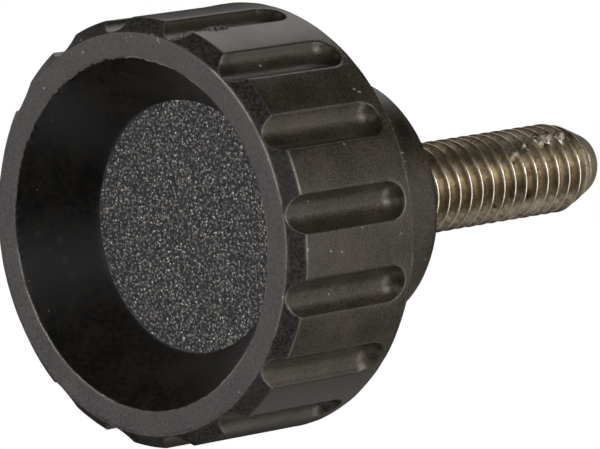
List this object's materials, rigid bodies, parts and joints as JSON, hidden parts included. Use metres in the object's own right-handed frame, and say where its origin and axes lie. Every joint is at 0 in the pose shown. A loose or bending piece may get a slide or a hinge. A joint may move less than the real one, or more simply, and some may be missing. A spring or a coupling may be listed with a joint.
{
  "type": "knurled head screw",
  "caption": "Hand-tightened screw: a round fluted plastic grip with a dished front and a hub, moulded on a threaded steel stud with a tapered tip.",
  "frame": {"origin": "centre of the head's front rim, on the plane it stands on", "axes": "+Z along the stud, from the front rim to the stud's tip; -Y through the middle of one flute; X completes a right-handed frame"},
  "size_m": [0.018, 0.018, 0.0272],
  "materials": {
    "grip_plastic": "satin black moulding, flat rim duller, dish floor spark-grained",
    "stud_steel": "plain rolled steel thread, slightly tarnished"
  },
  "bodies": {
    "root": {"head": "grip_plastic", "stud": "stud_steel"}
  },
  "joints": []
}
